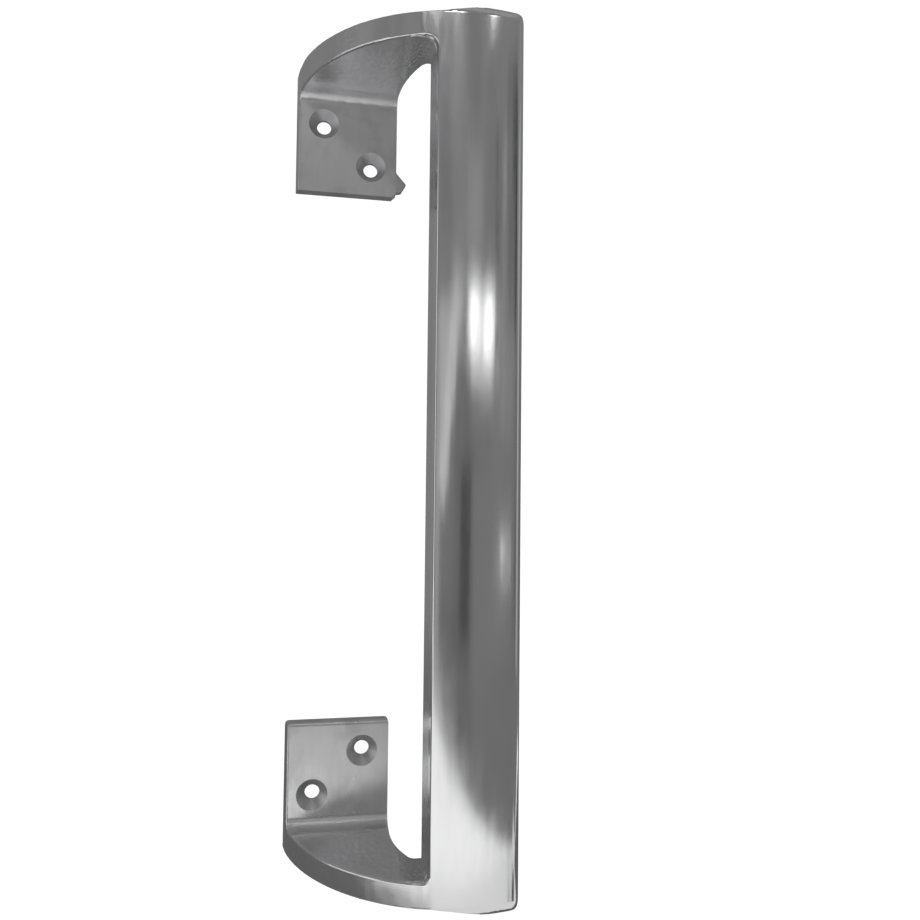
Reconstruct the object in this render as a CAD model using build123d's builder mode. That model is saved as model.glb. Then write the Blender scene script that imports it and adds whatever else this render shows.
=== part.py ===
# Offset pull handle, one aluminium casting.
#
# The handle is fixed to the face of a door. An upright grip stands in front of the door
# and to the right of its fixings. At each end an arm sweeps left and back to the door,
# and ends in a foot plate that turns inwards and takes two countersunk screws.
#
# Millimetres. X runs across the door, Y runs into it and Z runs up. The door's face is
# Y = 0, the handle is in front of it at negative Y, and Z = 0 is half way up. X = 0 is
# the upright line through the two outer screws.

import os
from math import radians, tan

from build123d import *

# overall sizes
overall_length = 306.0
projection = 50.0
grip_width = 30.0
grip_depth = 18.0
grip_offset = 10.0

# foot plates
foot_width = 38.6
foot_length = 38.2
foot_thickness = 4.4
fold_radius = 4.0
foot_corner_radius = 1.5

# arms
arm_thickness = 8.1
arm_step = 3.9
arm_draft = 2.2
lower_arm_slope = 1.4
upper_arm_corner_run = 4.6
upper_arm_corner_drop = 2.8
lower_arm_corner_run = 1.8
lower_arm_corner_drop = 0.7
upper_throat_start = 5.0
upper_throat_reach = 7.7
upper_throat_radius = 6.0
lower_throat_start = 13.0
lower_throat_reach = 5.8
lower_throat_radius = 3.0

# grip section
crown_radius = 90.0
crown_inset = 13.4
right_edge_radius = 3.5
back_radius = 7.5
side_lean_angle = 9.5

# grip ends
end_roll_length = 4.6
end_roll_radius = 5.0
step_blend_length = 32.0
top_corner_run = 2.5
top_corner_drop = 2.2
bottom_corner_run = 1.1
bottom_corner_drop = 0.9

# corners where the arms meet the grip
upper_window_radius = 4.5
lower_window_radius = 2.2

# small round on the polished edges
polished_edge_radius = 0.8

# screw holes
bore_diameter = 5.5
countersink_diameter = 11.5
countersink_angle = 90.0
outer_hole_inset = 10.5
outer_hole_rise = 26.6
inner_hole_inset = 9.9
inner_hole_rise = 11.1

# nib and nick that the casting has at the upper foot
nib_width = 4.2
nib_height = 10.6
nib_thickness = 2.2
nib_rise = 2.8
nick_size = 1.6

# places worked out from the sizes above
half_length = overall_length / 2
foot_left = -outer_hole_inset
foot_right = foot_left + foot_width
grip_left = foot_right + grip_offset
grip_right = grip_left + grip_width
grip_middle = grip_left + grip_width / 2
crown_x = grip_left + crown_inset
crown_edge_y = crown_radius - projection - (crown_radius**2 - (grip_right - crown_x) ** 2) ** 0.5
grip_back = grip_depth - projection
arm_end = half_length - arm_step
web_front = arm_end - arm_thickness
web_root = web_front - arm_draft
foot_end = web_root - foot_length
roll_drop = end_roll_radius - (end_roll_radius**2 - end_roll_length**2) ** 0.5
roll_start = half_length - end_roll_length
beyond = 20.0


def nearest_corner(shape, x, y):
    """The corner of a sketch that lies nearest to a point of the sketch's plane."""
    return shape.vertices().sort_by_distance((x, y))[0]


def nearest_edge(solid, x, y, z):
    """The edge of a solid that lies nearest to a point."""
    return solid.edges().sort_by_distance((x, y, z))[0]


# Front surface of the casting. One arc sweeps from the foot to the crown of the grip, and
# the flatter crown goes on from it to the right edge.
with BuildSketch() as front_shape:
    with BuildLine():
        arm_curve = TangentArc((crown_x, -projection), (foot_left, 0), tangent=(-1, 0))
        crown = TangentArc((crown_x, -projection), (grip_right, crown_edge_y), tangent=(1, 0))
        Polyline(crown @ 1, (grip_right, beyond), (foot_left, beyond), (foot_left, 0))
    make_face()
    fillet(nearest_corner(front_shape, grip_right, crown_edge_y), right_edge_radius)

# Trim of the back, one half for each end. Seen from above, the throat of the arm starts
# straight at the door and curves over to the back of the grip, more gently at the top.
with BuildPart() as back_trim:
    for end, throat_start, throat_reach, throat_radius in (
        (1, upper_throat_start, upper_throat_reach, upper_throat_radius),
        (-1, lower_throat_start, lower_throat_reach, lower_throat_radius),
    ):
        throat_end = foot_right + throat_reach
        with BuildSketch() as back_shape:
            with BuildLine():
                Polyline(
                    (throat_end, grip_back),
                    (grip_right, grip_back),
                    (grip_right, -projection - beyond),
                    (foot_left, -projection - beyond),
                    (foot_left, 0),
                    (foot_right, 0),
                    (foot_right, -throat_start),
                )
                TangentArc((foot_right, -throat_start), (throat_end, grip_back), tangent=(0, -1))
            make_face()
            fillet(nearest_corner(back_shape, throat_end, grip_back), throat_radius)
            fillet(nearest_corner(back_shape, grip_right, grip_back), back_radius)
        extrude(amount=end * half_length)

# Outline seen from the front. The arms are a step lower than the ends of the grip, and the
# lower one falls off a little towards its foot. All four corners are rounded.
with BuildSketch(Plane.XZ) as face_shape:
    for end, corner_run, corner_drop, arm_slope, arm_corner_run, arm_corner_drop in (
        (1, top_corner_run, top_corner_drop, 0, upper_arm_corner_run, upper_arm_corner_drop),
        (
            -1,
            bottom_corner_run,
            bottom_corner_drop,
            lower_arm_slope,
            lower_arm_corner_run,
            lower_arm_corner_drop,
        ),
    ):
        corner_z = arm_end - arm_slope
        step_end = grip_right - corner_run
        step_start = step_end - step_blend_length
        step_middle = (step_start + step_end) / 2
        with BuildLine():
            arm_corner = TangentArc(
                (foot_left + arm_corner_run, end * corner_z),
                (foot_left, end * (corner_z - arm_corner_drop)),
                tangent=(-1, 0),
            )
            flat = Line(arm_corner @ 0, (step_start, end * arm_end))
            step = Bezier(
                flat @ 1,
                (step_middle, end * arm_end),
                (step_middle, end * half_length),
                (step_end, end * half_length),
            )
            grip_corner = TangentArc(
                step @ 1, (grip_right, end * (half_length - corner_drop)), tangent=step % 1
            )
            Polyline(grip_corner @ 1, (grip_right, 0), (foot_left, 0), arm_corner @ 1)
        make_face()

# Section of the grip between the arms. Its left side leans outwards towards the back.
with BuildSketch() as grip_shape:
    lean = tan(radians(side_lean_angle))
    back_corner_x = grip_left - lean * grip_depth
    with BuildLine():
        Polyline(
            (grip_left + lean * beyond, -projection - beyond),
            (back_corner_x, grip_back),
            (grip_right + beyond, grip_back),
            (grip_right + beyond, -projection - beyond),
            close=True,
        )
    make_face()
    fillet(nearest_corner(grip_shape, back_corner_x, grip_back), back_radius)

# Space between the arms and in front of the feet, seen from the side. The inner faces of
# the arms have draft, and the fold to each foot plate is rounded.
with BuildPart() as hand_space:
    with BuildSketch(Plane.YZ.offset(foot_left - beyond)) as space_shape:
        for end in (-1, 1):
            draft_slope = arm_draft / (projection - foot_thickness)
            with BuildLine():
                Polyline(
                    (beyond, 0),
                    (beyond, end * foot_end),
                    (-foot_thickness, end * foot_end),
                    (-foot_thickness, end * web_root),
                    (-projection - beyond, end * (web_front + draft_slope * beyond)),
                    (-projection - beyond, 0),
                    close=True,
                )
            make_face()
        for end in (-1, 1):
            fillet(nearest_corner(space_shape, -foot_thickness, end * web_root), fold_radius)
    extrude(amount=grip_middle - foot_left + beyond)
    with BuildSketch(Plane.XY.offset(-half_length)):
        add(grip_shape.sketch)
    extrude(amount=overall_length, mode=Mode.SUBTRACT)

    for end, window_radius in ((1, upper_window_radius), (-1, lower_window_radius)):
        grip_edges = hand_space.edges().filter_by_position(Axis.X, foot_right, grip_middle, (False, False))
        fillet([edge for edge in grip_edges if end * edge.center().Z > web_root], window_radius)

# The casting: the front surface over the full length, its ends rolled back a little,
# trimmed to the two outlines and opened out by the hand space.
with BuildPart() as pull_handle:
    with BuildSketch(Plane.XY.offset(-roll_start)):
        add(front_shape.sketch)
    extrude(amount=2 * roll_start)
    for end in (-1, 1):
        with BuildLine(Plane.YZ) as roll:
            TangentArc((0, end * roll_start), (roll_drop, end * half_length), tangent=(0, end))
        with BuildSketch(Plane.XY.offset(end * roll_start)):
            add(front_shape.sketch)
        sweep(path=roll.wire(), normal=(0, 0, 1))
    add(back_trim.part, mode=Mode.INTERSECT)
    with BuildSketch(Plane.XZ.offset(-beyond)):
        add(face_shape.sketch)
    extrude(amount=projection + 2 * beyond, mode=Mode.INTERSECT)
    add(hand_space.part, mode=Mode.SUBTRACT)

    # the polished edge that runs round the hand space and down the outside of each foot
    fillet(nearest_edge(pull_handle, grip_left, -projection, 0), polished_edge_radius)

    # the lower foot has round corners, the upper one is nicked at its inner corner
    half_thickness = foot_thickness / 2
    inner_corner = nearest_edge(pull_handle, foot_right, -half_thickness, foot_end)
    chamfer(inner_corner, nick_size)
    lower_corners = [
        nearest_edge(pull_handle, corner_x, -half_thickness, -foot_end)
        for corner_x in (foot_left, foot_right)
    ]
    fillet(lower_corners, foot_corner_radius)

    # a nib left by the mould stands out from the upper foot, against the door
    with BuildSketch(Plane.XZ):
        with BuildLine():
            nib_foot = foot_end + nib_rise
            Polyline(
                (foot_right - nib_thickness, nib_foot),
                (foot_right + nib_width / 2, nib_foot),
                (foot_right + nib_width, nib_foot + nib_height / 3),
                (foot_right - nib_thickness, nib_foot + nib_height),
                close=True,
            )
        make_face()
    extrude(amount=nib_thickness)

    # two countersunk holes in each foot plate, set on the diagonal
    for end in (-1, 1):
        with Locations(Plane.XZ.offset(foot_thickness)):
            with Locations(
                (foot_left + outer_hole_inset, end * (foot_end + outer_hole_rise)),
                (foot_right - inner_hole_inset, end * (foot_end + inner_hole_rise)),
            ):
                CounterSinkHole(
                    radius=bore_diameter / 2,
                    counter_sink_radius=countersink_diameter / 2,
                    depth=foot_thickness,
                    counter_sink_angle=countersink_angle,
                )

pull_handle.part.label = "pull_handle"
os.makedirs("parts", exist_ok=True)
export_step(pull_handle.part, "parts/pull_handle.step")
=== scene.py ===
# %% [markdown]
# # An offset pull handle in cast aluminium
#
# The handle is one casting: an upright grip, an arm at each end that sweeps back to the
# door, and two foot plates with countersunk screw holes. The solid comes from the CAD
# model and keeps its size and place. Here it gets what the solid lacks: soft edges, a
# polished skin with its fine lines and flaws, and a studio that shows in the metal.

import math

import bpy
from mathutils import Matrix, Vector


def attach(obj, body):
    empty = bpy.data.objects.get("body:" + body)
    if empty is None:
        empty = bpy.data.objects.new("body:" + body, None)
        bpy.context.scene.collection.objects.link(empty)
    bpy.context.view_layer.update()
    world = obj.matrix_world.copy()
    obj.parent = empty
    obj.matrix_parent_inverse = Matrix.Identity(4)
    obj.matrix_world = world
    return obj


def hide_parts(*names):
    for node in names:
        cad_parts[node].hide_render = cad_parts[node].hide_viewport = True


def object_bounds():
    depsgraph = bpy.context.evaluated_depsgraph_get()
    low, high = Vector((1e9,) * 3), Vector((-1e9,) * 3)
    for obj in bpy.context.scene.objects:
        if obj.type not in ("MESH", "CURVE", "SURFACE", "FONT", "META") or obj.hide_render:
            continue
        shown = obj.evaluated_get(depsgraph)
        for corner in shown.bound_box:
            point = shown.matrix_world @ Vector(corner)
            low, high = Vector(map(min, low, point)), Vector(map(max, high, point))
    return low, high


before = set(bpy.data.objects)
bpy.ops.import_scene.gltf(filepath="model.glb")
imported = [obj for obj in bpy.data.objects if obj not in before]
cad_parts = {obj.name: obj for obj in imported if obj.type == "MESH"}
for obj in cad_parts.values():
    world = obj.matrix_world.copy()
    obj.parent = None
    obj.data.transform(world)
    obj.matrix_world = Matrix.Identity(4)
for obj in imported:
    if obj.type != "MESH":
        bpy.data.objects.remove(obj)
cad_low, cad_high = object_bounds()
print("CAD box in metres:", [round(v, 4) for v in cad_high - cad_low])

# %% [markdown]
# ## The casting
#
# The CAD mesh is a set of loose triangles with razor-sharp outer edges. A real casting is
# ground and polished, which takes every edge down to a narrow round that catches the
# light. The edges could be rounded in the material alone, but then the outline would stay
# sharp, so the round is cut in the mesh with the bevel operator. It works on a copy: the
# doubles are merged, flat triangles are dissolved into whole faces, and only then are the
# sharp edges picked by their angle.

# %% Copy the CAD mesh and merge it
merge_distance = 0.000001
flat_angle = math.radians(0.3)

bpy.ops.object.select_all(action="DESELECT")
cad_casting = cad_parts["pull_handle"]
casting = bpy.data.objects.new("polished_casting", cad_casting.data.copy())
bpy.context.scene.collection.objects.link(casting)
bpy.context.view_layer.objects.active = casting
casting.select_set(True)

bpy.ops.object.mode_set(mode="EDIT")
bpy.ops.mesh.select_all(action="SELECT")
bpy.ops.mesh.customdata_custom_splitnormals_clear()
bpy.ops.mesh.remove_doubles(threshold=merge_distance)
bpy.ops.mesh.dissolve_limited(angle_limit=flat_angle)
bpy.ops.object.mode_set(mode="OBJECT")
print("faces after merging:", len(casting.data.polygons))

# %% Pick the sharp edges of the front skin
# Seen from above, the skin of the arms is one arc. It starts on the door, at the left end
# of the casting, and at crown_x it runs into the grip, parallel to the door. From there on
# the front skin is all that lies less than skin_depth behind the foremost line. Only its
# edges are rounded, because they are the polished ones. Elsewhere the solid has small
# rounds of its own, and a bevel beside those makes spikes.
sharp_angle = math.radians(50)
crown_x = 0.0515
skin_depth = 0.0045
arc_slack = 0.00015

projection = -cad_low.y
arc_run = crown_x - cad_low.x
arc_radius = (arc_run**2 + projection**2) / (2 * projection)
arc_centre = Vector((crown_x, arc_radius - projection))
grip_skin_y = skin_depth - projection


def on_front_skin(point):
    """True where the arc of the arms or the face of the grip passes through the point."""
    reach = (Vector((point.x, point.y)) - arc_centre).length
    on_arc = point.x < crown_x and abs(reach - arc_radius) < arc_slack
    return on_arc or (point.x >= crown_x and point.y < grip_skin_y)


bpy.ops.object.mode_set(mode="EDIT")
bpy.ops.mesh.select_mode(type="EDGE")
bpy.ops.mesh.select_all(action="DESELECT")
bpy.ops.mesh.edges_select_sharp(sharpness=sharp_angle)
bpy.ops.object.mode_set(mode="OBJECT")
corners = casting.data.vertices
for edge in casting.data.edges:
    ends = [corners[i].co for i in edge.vertices]
    edge.select = edge.select and all(on_front_skin(end) for end in ends)
print("radius of the arms' skin in metres:", round(arc_radius, 5))
print("outer edges to round:", sum(edge.select for edge in casting.data.edges))

# %% Round them and shade the casting smooth
edge_round = 0.0003
round_segments = 2
smooth_angle = math.radians(38)

bpy.ops.object.mode_set(mode="EDIT")
bpy.ops.mesh.bevel(offset=edge_round, segments=round_segments, affect="EDGES")
bpy.ops.mesh.select_mode(type="VERT")
bpy.ops.object.mode_set(mode="OBJECT")

bpy.ops.object.shade_smooth_by_angle(angle=smooth_angle)
even_shading = casting.modifiers.new("even shading", "WEIGHTED_NORMAL")
even_shading.keep_sharp = True
bpy.ops.object.modifier_apply(modifier=even_shading.name)
print("faces after rounding:", len(casting.data.polygons))

# %% [markdown]
# ## Polished aluminium
#
# The skin is bare metal, so nearly all of its look comes from relief and roughness, and
# little from colour. The marks of its making could be a picture laid round the casting,
# but a picture has an edge and a size in pixels. Noise has neither, and it reads Object
# coordinates, which are metres on this piece, so every mark gets its real size.
#
# The nodes could be placed one by one, but the same few come back again and again. Small
# helpers make them, in this material and in those of the studio.

# %% Helpers for nodes


def add_node(tree, kind, title, **values):
    """A node with a title, and with its plain inputs set by name."""
    node = tree.nodes.new(kind)
    node.label = title
    for name, value in values.items():
        node.inputs[name.replace("_", " ")].default_value = value
    return node


def join(source, target, slot):
    """Links an output to one input, given by its name or its number."""
    target.id_data.links.new(source, target.inputs[slot])


def calculate(tree, operation, title, first, second=0.0, third=0.0):
    """A Math node on numbers or outputs, giving its output."""
    node = add_node(tree, "ShaderNodeMath", title)
    node.operation = operation
    for slot, value in enumerate((first, second, third)):
        if isinstance(value, float):
            node.inputs[slot].default_value = value
        else:
            join(value, node, slot)
    return node.outputs[0]


def rescale(tree, title, source, old, new, interpolation="LINEAR"):
    """Maps one range of an output to another, given as pairs."""
    limits = {"From_Min": old[0], "From_Max": old[1], "To_Min": new[0], "To_Max": new[1]}
    node = add_node(tree, "ShaderNodeMapRange", title, **limits)
    node.interpolation_type = interpolation
    join(source, node, "Value")
    return node.outputs["Result"]


def places(tree):
    """The Object coordinates in metres, as outputs named X, Y and Z."""
    place = add_node(tree, "ShaderNodeTexCoord", "place")
    axes = add_node(tree, "ShaderNodeSeparateXYZ", "across, in and up")
    join(place.outputs["Object"], axes, "Vector")
    return axes.outputs


def mottle(tree, title, scale, stretch=(1, 1, 1), detail=2.0):
    """Noise with so many spots to the metre, drawn out along an axis by a small stretch."""
    place = add_node(tree, "ShaderNodeTexCoord", title)
    mapping = add_node(tree, "ShaderNodeMapping", title, Scale=stretch)
    join(place.outputs["Object"], mapping, "Vector")
    noise = add_node(tree, "ShaderNodeTexNoise", title, Scale=scale, Detail=detail)
    join(mapping.outputs["Vector"], noise, "Vector")
    return noise.outputs["Fac"]


polish = bpy.data.materials.new("polished_cast_aluminium")
polish.use_nodes = True
metal = polish.node_tree
surface = metal.nodes["Principled BSDF"]
print("material:", polish.name)

# %% [markdown]
# ### Regions of the casting
#
# One material covers the whole piece, as one metal does, and soft masks tell it where it
# is. The masks could be painted by hand, but the casting is made of planes and one arc, so
# a few distances say the same and stay exact.

# %% Find the regions of the casting
# Each pair holds the place where a mask is 0 and the place where it is 1, in metres. Heights
# count from the middle, up and down alike, so both ends of the handle are found at once.
grip_side_x = (0.0315, 0.0340)
plate_y = (-0.0061, -0.0048)
plate_height = (0.1365, 0.1335)
corner_left_x = (0.0270, 0.0350)
corner_right_x = (0.0381, 0.0360)
corner_height = (0.1295, 0.1365)
web_height = (0.1345, 0.1375)
arm_tip_x = (0.0200, -0.0020)
door_face_y = (-0.0004, -0.0001)
arm_skin_reach = (arc_radius - 0.0008, arc_radius - 0.0003)
grip_skin_reach = (grip_skin_y, grip_skin_y - 0.0008)

across, inward, upward = places(metal)
height = calculate(metal, "ABSOLUTE", "height from the middle", upward)


def fade(title, source, pair):
    """A mask that is 0 at the first place of a pair, 1 at the second and smooth between."""
    return rescale(metal, title, source, pair, (0, 1), "SMOOTHSTEP")


def both(title, first, second):
    """Two masks or heights multiplied, so that one limits the other."""
    return calculate(metal, "MULTIPLY", title, first, second)


def distance(title, first, first_place, second, second_place):
    """The distance from a point of a plane, measured along two of the axes."""
    squares = []
    for axis, place in ((first, first_place), (second, second_place)):
        offset = calculate(metal, "SUBTRACT", title, axis, place)
        squares.append(both(title, offset, offset))
    return calculate(metal, "SQRT", title, calculate(metal, "ADD", title, *squares))


on_grip = fade("on the grip", across, grip_side_x)
off_grip = calculate(metal, "SUBTRACT", "off the grip", 1.0, on_grip)
on_plate = both(
    "on a foot plate",
    fade("near the door", inward, plate_y),
    fade("inside the fold", height, plate_height),
)
in_corner = both(
    "in a window corner",
    fade("left of the grip's face", across, corner_right_x),
    both(
        "deep in the corner",
        fade("right of the plate", across, corner_left_x),
        fade("by the arm", height, corner_height),
    ),
)

from_axis = distance("from the arc's axis", across, arc_centre.x, inward, arc_centre.y)
front_skin = calculate(
    metal,
    "MAXIMUM",
    "front skin",
    fade("skin of the arms", from_axis, arm_skin_reach),
    fade("skin of the grip", inward, grip_skin_reach),
)
inner_skin = calculate(metal, "SUBTRACT", "inner skin", 1.0, front_skin)
raw_cast = both("raw cast skin", in_corner, inner_skin)
on_web = both("inner face of an arm", fade("past the fold", height, web_height), inner_skin)
arm_tip = both("porous arm tip", fade("left end", across, arm_tip_x), front_skin)
polished_arm = both("polished arm", off_grip, front_skin)
door_face = fade("face against the door", inward, door_face_y)
print("nodes that find the regions:", len(metal.nodes))

# %% [markdown]
# ### Relief
#
# The polishing belt leaves long, shallow waves and fine hairlines along the grip. Where it
# can't reach, in the corners, the cast skin stays rough. Shallow pores are left on the
# inner faces of the arms, and on their tips, which had little polish. The faces against
# the door are hidden, and are taken to be ground flat. All of this could be cut in a dense
# mesh, but its one effect is to bend what the metal mirrors, and a chain of Bump nodes
# does that with no more faces.

# %% Relief of the polishing and the casting
# Each noise has its spots to the metre, its stretch and how many finer layers it has.
grip_waves = mottle(metal, "waves along the grip", 150.0, (1, 1, 0.03))
hand_waves = mottle(metal, "waves of hand polishing", 55.0)
hairlines = mottle(metal, "hairlines along the grip", 2600.0, (1, 1, 0.012), 3.0)
arm_hairlines = mottle(metal, "hairlines round the arms", 2200.0, (0.03, 0.03, 1), 3.0)
cast_grain = mottle(metal, "cast grain", 700.0, (1, 1, 1), 4.0)
pores = mottle(metal, "pores", 450.0, (1, 1, 1), 5.0)
all_hairlines = calculate(
    metal,
    "ADD",
    "all hairlines",
    both("hairlines on the grip", hairlines, on_grip),
    both("hairlines on the arms", arm_hairlines, polished_arm),
)


def bump(title, source, depth, under=None):
    """A Bump node of so many metres depth, on top of the one under it."""
    node = add_node(metal, "ShaderNodeBump", title, Strength=1.0, Distance=depth)
    join(source, node, "Height")
    if under is not None:
        join(under, node, "Normal")
    return node.outputs["Normal"]


# Each has its height, limited to its region, and its depth in metres.
relief = None
for title, marks, depth in (
    ("waves", both("waves on the grip", grip_waves, on_grip), 0.000070),
    ("hand waves", both("waves off the grip", hand_waves, off_grip), 0.000160),
    ("hairlines", all_hairlines, 0.0000022),
    ("cast skin", both("grain in the corners", cast_grain, raw_cast), 0.0016),
    ("pores", both("pores on the arm tips", pores, arm_tip), 0.00022),
    ("cast webs", both("pores on the webs", pores, on_web), 0.00022),
    ("ground face", both("lines by the door", arm_hairlines, door_face), 0.00002),
):
    relief = bump(title, marks, depth, relief)
print("nodes with the relief:", len(metal.nodes))

# %% [markdown]
# ### Countersinks
#
# A cutter turned each countersink and left rings in it. They could be modelled by a
# screw or a spin, but a ring is half a millimetre wide. A sine of the distance from the
# middle of the hole draws them, and a mask stops them at the rim.

# %% Turned rings in the countersinks
hole_places = {"outer hole": (0.0, 0.1272), "inner hole": (0.0182, 0.1117)}
sink_radius = 0.0058
rim_width = 0.0004
ring_pitch = 0.00045
ring_depth = 0.000020
rim = (sink_radius + rim_width / 2, sink_radius - rim_width / 2)

in_sinks = []
for title, (hole_x, hole_z) in hole_places.items():
    reach = distance("from the " + title, across, hole_x, height, hole_z)
    turns = calculate(metal, "MULTIPLY", "turns", reach, math.tau / ring_pitch)
    rings = calculate(metal, "SINE", "rings", turns)
    inside = fade("inside the countersink", reach, rim)
    relief = bump(title, both("rings inside", rings, inside), ring_depth, relief)
    in_sinks.append(inside)
join(relief, surface, "Normal")
in_sink = calculate(metal, "MAXIMUM", "in a countersink", *in_sinks)
print("kinds of hole with rings:", len(in_sinks))

# %% [markdown]
# ### Roughness and colour
#
# The belt brought the grip and the arms to a fair polish, which hands have clouded here
# and there. Everything it missed is duller. One roughness for each region could be set as
# a material of its own, but the borders would show, so each region adds its share to one
# roughness. The same roughness then takes the colour from bright to dull metal, and soft
# stains darken the plates.

# %% Roughness of each region
# Noise seldom leaves the range of 0.3 to 0.7, so only a part of that is mapped to a level.
cloud_spread = (0.35, 0.7)
haze_spread = (0.3, 0.7)
polish_levels = (0.09, 0.16)
haze_levels = (-0.01, 0.03)

clouds = mottle(metal, "dull patches", 38.0, (1, 1, 0.5), 3.0)
fine_clouds = mottle(metal, "fine dull patches", 420.0, (1, 1, 0.2), 3.0)
dullness = rescale(metal, "dullness", clouds, cloud_spread, polish_levels)
haze = rescale(metal, "haze", fine_clouds, haze_spread, haze_levels)
roughness = calculate(metal, "ADD", "polish and haze", dullness, haze)
for title, region, extra in (
    ("duller inner faces", inner_skin, 0.15),
    ("duller plates", on_plate, 0.03),
    ("duller webs", on_web, 0.08),
    ("turned countersinks", in_sink, 0.10),
    ("dull cast skin", raw_cast, 0.22),
    ("dull arm tips", arm_tip, 0.14),
    ("ground door faces", door_face, 0.12),
):
    roughness = calculate(metal, "MULTIPLY_ADD", title, region, extra, roughness)
join(roughness, surface, "Roughness")
print("roughness of the polish:", polish_levels)

# %% Colour of bright, dull and stained metal
bright_metal = (0.76, 0.76, 0.765, 1)
dull_metal = (0.56, 0.56, 0.57, 1)
bright_to_dull = (0.15, 0.55)
stain_spread = (0.45, 0.62)
stain_share = 0.45

stains = fade("stains", mottle(metal, "soft stains", 90.0, (1, 1, 1), 3.0), stain_spread)
plate_stains = both("stains on the plates", stains, on_plate)
dull_share = fade("where it is dull", roughness, bright_to_dull)
stained_share = calculate(
    metal, "MULTIPLY_ADD", "dull and stained", plate_stains, stain_share, dull_share
)

tone = add_node(metal, "ShaderNodeMix", "metal tone")
tone.data_type = "RGBA"
tone.inputs["A"].default_value = bright_metal
tone.inputs["B"].default_value = dull_metal
join(stained_share, tone, "Factor")
join(tone.outputs["Result"], surface, "Base Color")
surface.inputs["Metallic"].default_value = 1.0
print("nodes in the finish:", len(metal.nodes))

# %% Dress the casting
casting.data.materials.clear()
casting.data.materials.append(polish)
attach(casting, "root")
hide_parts("pull_handle")
print("dressed:", casting.name)

# %% [markdown]
# ## The studio
#
# Metal shows the room around it, so the room is what shapes it. The handle was taken
# against white, but what it mirrors is a grey room with a window of two panes, a bright
# table top low in front, and lamps on the ceiling. A picture of a room could be wrapped
# round the scene, but here each thing has to be moved until its reflection sits where the
# photograph has it. Flat cards are the easiest to move. They are seen in mirrors only: the
# camera looks past them at the floor and the backdrop, and they shade nothing.

# %% Helpers for the studio
scene = bpy.context.scene
scene.view_settings.view_transform = "Standard"
upright = math.radians(90)


def glow(name, strength=1.0):
    """A grey or white that shines evenly by so much, where 1 is white."""
    material = bpy.data.materials.new(name)
    material.use_nodes = True
    tree = material.node_tree
    tree.nodes.clear()
    shine = add_node(tree, "ShaderNodeEmission", "shine", Strength=strength)
    join(shine.outputs["Emission"], tree.nodes.new("ShaderNodeOutputMaterial"), "Surface")
    return material


def only_mirrored(piece, name, material):
    """Makes a piece of the stage that shows in the metal and nowhere else."""
    piece.name = name
    piece.data.materials.append(material)
    piece.visible_camera = False
    piece.visible_diffuse = False
    piece.visible_shadow = False


def card(name, centre, size, turn, strength):
    """A flat shining card, so many metres wide and high."""
    bpy.ops.object.select_all(action="DESELECT")
    bpy.ops.mesh.primitive_plane_add(size=1, location=centre, rotation=turn)
    bpy.context.object.scale = (*size, 1)
    only_mirrored(bpy.context.object, name, glow(name, strength))


print("view transform:", scene.view_settings.view_transform)

# %% The grey of the room
# It is a little lighter towards the ceiling, and uneven as a furnished room is. The levels
# are strengths, and the uneven shares multiply them.
room_heights = (-0.5, 1.2)
room_levels = (0.14, 0.245)
uneven_spread = (0.35, 0.65)
uneven_shares = (0.82, 1.18)

room_grey = glow("room_grey")
room = room_grey.node_tree
room_noise = mottle(room, "uneven grey", 4.0, (1, 1, 0.35))
room_level = rescale(room, "level", places(room)["Z"], room_heights, room_levels)
room_share = rescale(room, "uneven", room_noise, uneven_spread, uneven_shares)
room_shine = calculate(room, "MULTIPLY", "shine", room_level, room_share)
join(room_shine, room.nodes["Emission"], "Strength")
print("strength of the room, low and high:", room_levels)

# %% The walls of the room
room_half = 1.6

bpy.ops.object.select_all(action="DESELECT")
bpy.ops.mesh.primitive_cube_add(size=2 * room_half, location=(0, 0, 0))
only_mirrored(bpy.context.object, "grey_room", room_grey)
print("width of the room in metres:", 2 * room_half)

# %% Cards on the wall in front of the handle
# Each has its place along the wall and its height, its size, how far its top leans to the
# right, and its strength. A later card hangs a little before the ones above it.
front_wall = -1.45
card_gap = 0.004

front_cards = (
    ("curtain", (-0.20, 0.21), (0.22, 0.42), 0, 0.48),
    ("curtain_edge", (-0.095, 0.216), (0.14, 0.56), 29, 0.62),
    ("door_post", (-0.30, -0.20), (0.12, 0.42), 0, 0.38),
    ("pale_picture", (0.29, 0.66), (0.26, 0.20), 0, 0.30),
    ("dark_gap", (0.17, -0.14), (0.18, 0.38), 0, 0.075),
    ("low_cupboard", (0.54, -0.18), (0.54, 0.44), 0, 0.21),
    ("dark_doorway", (1.03, 0.72), (0.46, 0.66), 0, 0.05),
    ("dark_pipe", (0.62, 0.55), (0.06, 0.60), 0, 0.10),
    ("light_pipe", (0.73, 0.50), (0.05, 0.75), 0, 0.38),
    ("small_lamp", (0.725, -0.16), (0.06, 0.12), 0, 1.1),
    ("window_sill", (0.385, 0.255), (0.34, 0.08), 0, 0.6),
    ("window_bar", (0.41, 0.36), (0.09, 0.14), 0, 0.9),
    ("left_window_pane", (0.28, 0.362), (0.17, 0.135), 0, 2.0),
    ("right_window_pane", (0.505, 0.357), (0.10, 0.15), 0, 2.3),
)
for order, (name, (along, up), size, lean, strength) in enumerate(front_cards):
    centre = (along, front_wall + order * card_gap, up)
    card(name, centre, size, (upright, math.radians(lean), 0), strength)
print("cards on the front wall:", len(front_cards))

# %% Cards on the floor
# The table's far edge runs slantwise. On the table lies a dark round rug, and on that a
# pale sheet with a dark box. Each card has its place and size, its turn and its strength,
# and a later one lies over the ones before.
carpet_height = -0.405

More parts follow.
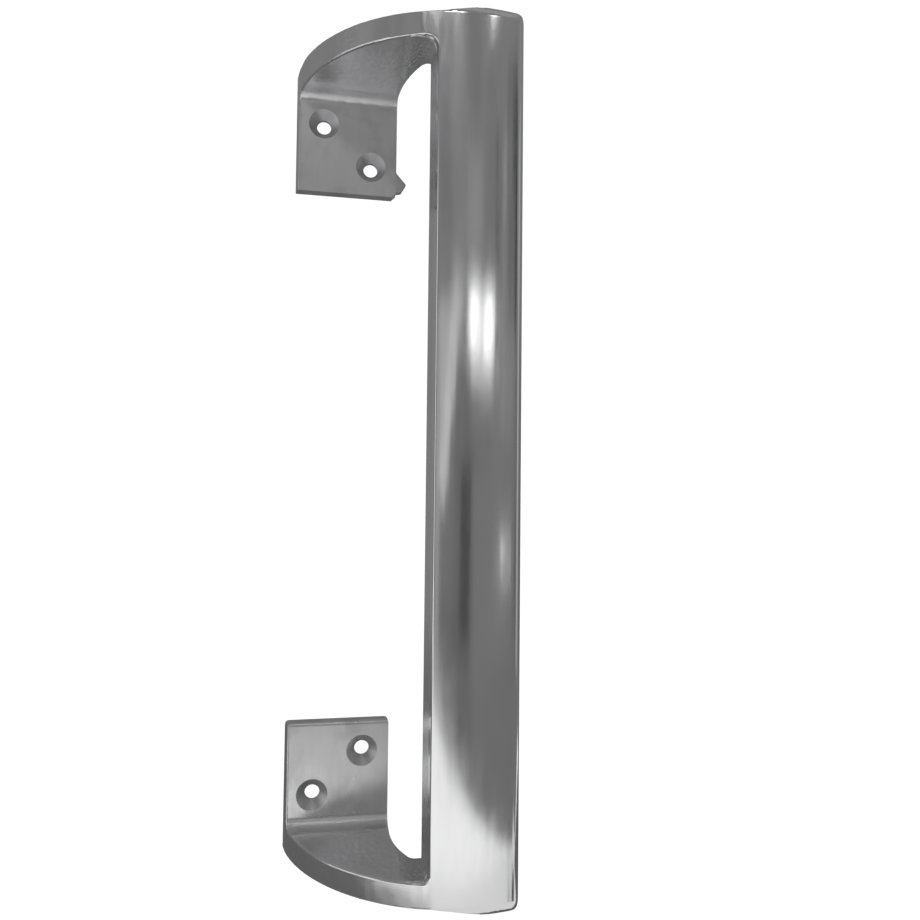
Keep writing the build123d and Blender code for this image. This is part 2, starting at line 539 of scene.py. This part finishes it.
low_cards = (
    ("grey_carpet", (0, 0), (3.1, 3.1), 0, 0.18),
    ("dark_strip", (0.15, -1.2), (0.17, 0.50), 0, 0.11),
    ("table_leaf", (-0.29, -1.131), (0.36, 0.46), -11, 0.45),
    ("pale_mat", (-0.85, -1.15), (0.90, 0.60), 0, 1.1),
    ("table_top", (-0.029, -0.353), (2.2, 0.80), 44, 1.1),
)
high_cards = (
    ("pale_sheet", (0.24, -0.28), (0.60, 0.50), 0, 0.8),
    ("dark_box", (0.39, -0.375), (0.24, 0.075), 45, 0.05),
)
high_card_height = carpet_height + len(low_cards) * card_gap


def lay_cards(cards, lowest):
    """Lays cards flat, one over the other, from a given height up."""
    for order, (name, (along, forward), size, turn, strength) in enumerate(cards):
        centre = (along, forward, lowest + order * card_gap)
        card(name, centre, size, (0, 0, math.radians(turn)), strength)


lay_cards(low_cards, carpet_height)
lay_cards(high_cards, high_card_height)
print("cards on the floor:", len(low_cards) + len(high_cards))

# %% The dark rug
rug_radius = 0.81
rug_centre = (0.03, 0.32, high_card_height - card_gap / 2)
rug_corners = 64
rug_strength = 0.13

bpy.ops.object.select_all(action="DESELECT")
bpy.ops.mesh.primitive_circle_add(
    vertices=rug_corners, radius=rug_radius, fill_type="NGON", location=rug_centre
)
only_mirrored(bpy.context.object, "dark_rug", glow("dark_rug", rug_strength))
print("radius of the rug in metres:", rug_radius)

# %% Cards at the sides, behind and above
# Each has its centre, its size, its turn and its strength.
side_wall = 1.45
ceiling = 1.0
facing_sideways = (upright, 0, upright)
facing_forwards = (upright, 0, 0)
facing_down = (0, 0, 0)
panel_turn = (0, 0, math.radians(-12.6))

far_cards = (
    ("right_curtain", (side_wall, -0.5, 0.1), (0.7, 1.5), facing_sideways, 0.4),
    ("left_curtain", (-side_wall, -0.75, 0.15), (1.3, 1.3), facing_sideways, 0.75),
    ("left_sill", (card_gap - side_wall, -0.75, -0.31), (1.3, 0.18), facing_sideways, 1.2),
    ("back_wall", (-0.8, 1.55, 0.35), (1.2, 1.6), facing_forwards, 0.25),
    ("ceiling_panel", (-0.156, -1.113, ceiling), (0.48, 0.27), panel_turn, 2.5),
    ("ceiling_lamp", (0.468, -1.19, ceiling), (0.05, 0.14), facing_down, 6.5),
    ("pale_ceiling", (0.10, -0.30, ceiling), (0.7, 0.6), facing_down, 0.34),
)
for far_card in far_cards:
    card(*far_card)
print("cards further off:", len(far_cards))

# %% [markdown]
# ### Floor and backdrop
#
# The photograph has a pure white ground. White paint alone would come out grey, since no
# plain paint sends back all of its light. So the sheets shine by themselves to the camera
# and in mirrors, and a share of real paint is mixed in, which takes the handle's shadow.

# %% Floor and backdrop
paint_share = 0.3
paint_white = (0.88, 0.88, 0.88, 1)
backdrop_shine = 1.12
floor_drop = 0.42
backdrop_y = 1.7
sheet_size = 6.0


def seen_directly(tree):
    """1 for what the camera, a mirror or glass looks at, and 0 for all other light."""
    path = add_node(tree, "ShaderNodeLightPath", "kind of ray")
    seen = path.outputs["Is Camera Ray"]
    for other in ("Is Glossy Ray", "Is Transmission Ray"):
        seen = calculate(tree, "MAXIMUM", "or", seen, path.outputs[other])
    return seen


def camera_white(name):
    """White to the camera and in mirrors, with a small share of paint for the shadows."""
    material = bpy.data.materials.new(name)
    material.use_nodes = True
    tree = material.node_tree
    tree.nodes.clear()
    shine_share = calculate(tree, "MULTIPLY", "shine", seen_directly(tree), 1 - paint_share)
    paint = add_node(tree, "ShaderNodeBsdfDiffuse", "paint", Color=paint_white)
    shine = add_node(tree, "ShaderNodeEmission", "shine", Strength=backdrop_shine)
    mix = add_node(tree, "ShaderNodeMixShader", "paint and shine")
    for slot, source in enumerate((shine_share, paint.outputs["BSDF"], shine.outputs["Emission"])):
        join(source, mix, slot)
    join(mix.outputs["Shader"], tree.nodes.new("ShaderNodeOutputMaterial"), "Surface")
    return material


for name, centre, turn in (
    ("floor", (0, 0, -floor_drop), (0, 0, 0)),
    ("backdrop", (0, backdrop_y, 0), (upright, 0, 0)),
):
    bpy.ops.object.select_all(action="DESELECT")
    bpy.ops.mesh.primitive_plane_add(size=sheet_size, location=centre, rotation=turn)
    sheet = bpy.context.object
    sheet.name = name
    sheet.data.materials.append(camera_white(name + "_white"))
print("floor below the middle in metres:", floor_drop)

# %% [markdown]
# ### Light
#
# A studio lamp in a soft box could light the floor, but it would need a size and a
# distance to get an even ground. A sun is even by nature, and a wide angle makes its
# shadow soft. It is hidden from mirrors, because the metal has the cards to show, and the
# world adds a plain level from all sides.

# %% Light
lamp_strength = 1.5
lamp_width = math.radians(25)
lamp_aim = Vector((-0.5, 0.9, -1.2))

lamp = bpy.data.lights.new("soft_lamp", "SUN")
lamp.energy = lamp_strength
lamp.angle = lamp_width
soft_lamp = bpy.data.objects.new("soft_lamp", lamp)
soft_lamp.rotation_euler = lamp_aim.to_track_quat("-Z", "Y").to_euler()
soft_lamp.visible_glossy = False
soft_lamp.visible_camera = False
scene.collection.objects.link(soft_lamp)
print("strength of the lamp:", lamp_strength)

# %% World
# It is white where the camera or a mirror sees it, and a plain level as light.
sky_strength = 0.6
white = 1.0

world = bpy.data.worlds.new("studio")
scene.world = world
world.use_nodes = True
sky = world.node_tree
background = sky.nodes["Background"]
background.inputs["Color"].default_value = (white, white, white, 1)
sky_level = rescale(sky, "sky", seen_directly(sky), (0, 1), (sky_strength, white))
join(sky_level, background, "Strength")

# %% [markdown]
# ## The camera
#
# The handle was photographed from close by with a fairly wide lens, a little to the left
# and below the middle, which is why the grip's left side shows and the feet look small.
# A longer lens from further off would be kinder to the shape, but it wouldn't match. The
# place, turn and lens were worked out from the photograph's outline, holes and edges.

# %% Place the camera
camera_place = (0.0005, -0.2976, -0.0150)
camera_turn = (math.radians(92.55), math.radians(-0.58), math.radians(-10.49))
camera_lens = 29.825
sensor_width = 36

lens = bpy.data.cameras.new("camera")
lens.lens = camera_lens
lens.sensor_width = sensor_width
camera = bpy.data.objects.new("camera", lens)
camera.location = camera_place
camera.rotation_euler = camera_turn
scene.collection.objects.link(camera)
scene.camera = camera
print("camera from the middle in metres:", round(Vector(camera_place).length, 3))
